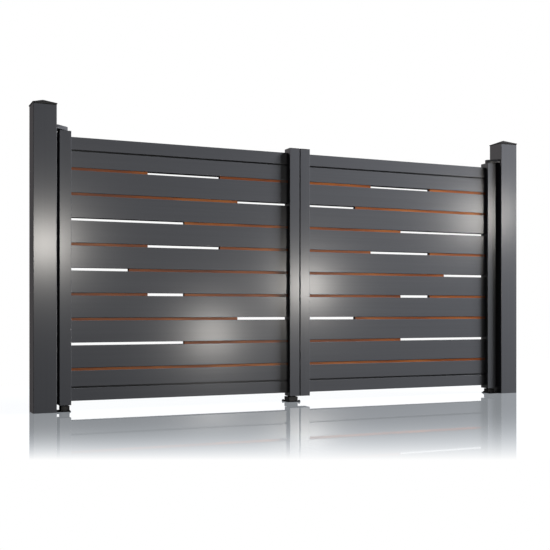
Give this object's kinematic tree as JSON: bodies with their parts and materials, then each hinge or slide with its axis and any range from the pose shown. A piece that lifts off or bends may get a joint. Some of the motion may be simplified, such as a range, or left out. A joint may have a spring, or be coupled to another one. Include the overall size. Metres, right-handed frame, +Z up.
{
  "type": "double-leaf swing driveway gate with posts",
  "caption": "Closed double-leaf driveway gate between two capped posts, filled with wide horizontal boards, wood-look strips and open slots.",
  "frame": {"origin": "centre of the left post's foot, on the ground", "axes": "+X along the opening from the left post to the right, +Y into the property, +Z up"},
  "size_m": [3.806, 0.156, 2.022],
  "materials": {
    "powder_coat": "satin",
    "black_steel": "satin",
    "black_plastic": "matte",
    "wood_look": "satin"
  },
  "bodies": {
    "posts_and_fittings": {"left_post": "powder_coat", "left_post_cap": "black_plastic", "left_top_bracket": "powder_coat", "left_floor_pivot": "black_steel", "right_post": "powder_coat", "right_post_cap": "black_plastic", "right_top_bracket": "powder_coat", "right_floor_pivot": "black_steel", "centre_stop": "black_steel"},
    "left_leaf": {"left_hinge_stile": "powder_coat", "left_closing_stile": "powder_coat", "left_top_rail": "powder_coat", "left_bottom_rail": "powder_coat", "left_board_1": "powder_coat", "left_board_2": "powder_coat", "left_board_3": "powder_coat", "left_board_4": "powder_coat", "left_board_5": "powder_coat", "left_board_6": "powder_coat", "left_board_7": "powder_coat", "left_board_8": "powder_coat", "left_board_9": "powder_coat", "left_board_10": "powder_coat", "left_strips": "wood_look", "left_top_bush": "black_plastic", "left_foot_bush": "black_plastic", "left_closing_stile_caps": "black_plastic"},
    "right_leaf": {"right_hinge_stile": "powder_coat", "right_closing_stile": "powder_coat", "right_top_rail": "powder_coat", "right_bottom_rail": "powder_coat", "right_board_1": "powder_coat", "right_board_2": "powder_coat", "right_board_3": "powder_coat", "right_board_4": "powder_coat", "right_board_5": "powder_coat", "right_board_6": "powder_coat", "right_board_7": "powder_coat", "right_board_8": "powder_coat", "right_board_9": "powder_coat", "right_board_10": "powder_coat", "right_strips": "wood_look", "right_top_bush": "black_plastic", "right_foot_bush": "black_plastic", "right_closing_stile_caps": "black_plastic"}
  },
  "joints": [
    {"name": "left_leaf_swing", "type": "hinge", "parent": "posts_and_fittings", "child": "left_leaf", "pos_m": [0.13761, 0.0115, 0.04], "axis": [0, 0, 1], "range_deg": [0, 90]},
    {"name": "right_leaf_swing", "type": "hinge", "parent": "posts_and_fittings", "child": "right_leaf", "pos_m": [3.51239, 0.0115, 0.04], "axis": [0, 0, -1], "range_deg": [0, 90]}
  ]
}
